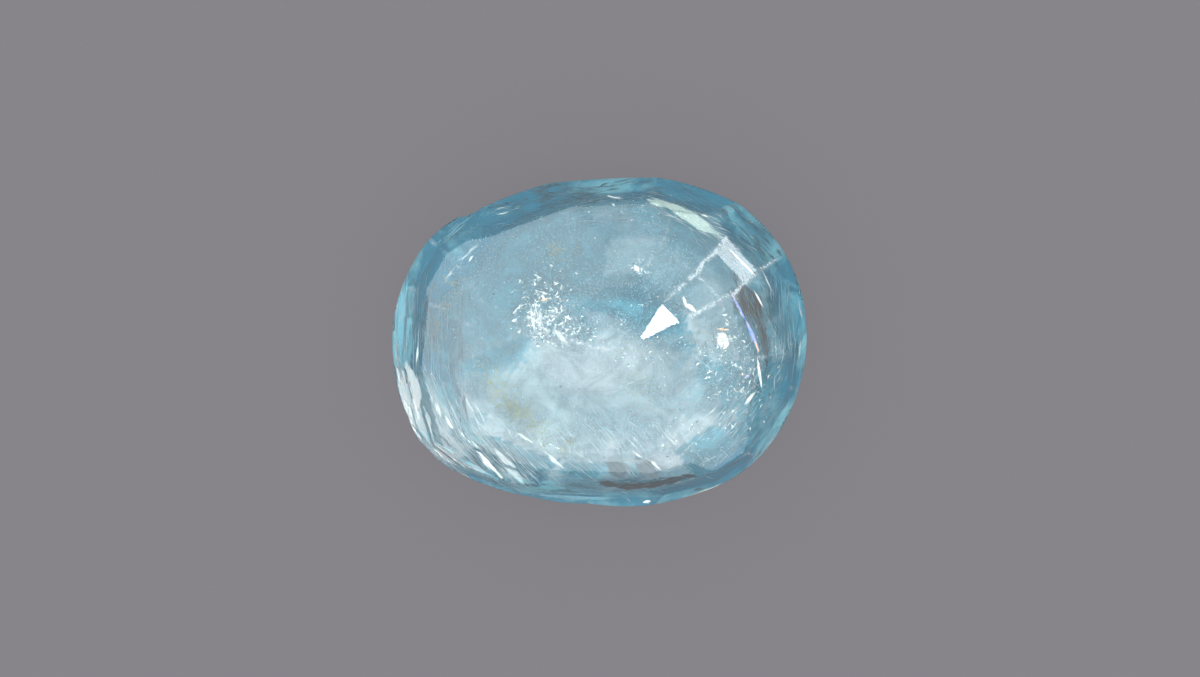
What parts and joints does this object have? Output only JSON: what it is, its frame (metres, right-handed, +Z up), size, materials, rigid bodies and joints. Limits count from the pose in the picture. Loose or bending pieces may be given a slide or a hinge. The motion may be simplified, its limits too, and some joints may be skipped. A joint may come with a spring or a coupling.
{
  "type": "sapphire crystal",
  "caption": "Loose faceted crystal: hand-cut oval with a flat table to rest on, a low crown and a stepped back, for gem, mineral and jewellery scenes.",
  "frame": {"origin": "on the plane of the table facet that the stone rests on, under the middle of its bounding box", "axes": "+X along the oval's longer way, +Y across it, towards the top of the picture, and +Z up, square to the table, towards the back"},
  "size_m": [0.0114, 0.009, 0.0047],
  "materials": {
    "pale_blue_sapphire": "polished flat facets, clear pale blue with a milky body and worn, frosted facet edges"
  },
  "bodies": {
    "root": {"sapphire": "pale_blue_sapphire"}
  },
  "joints": []
}
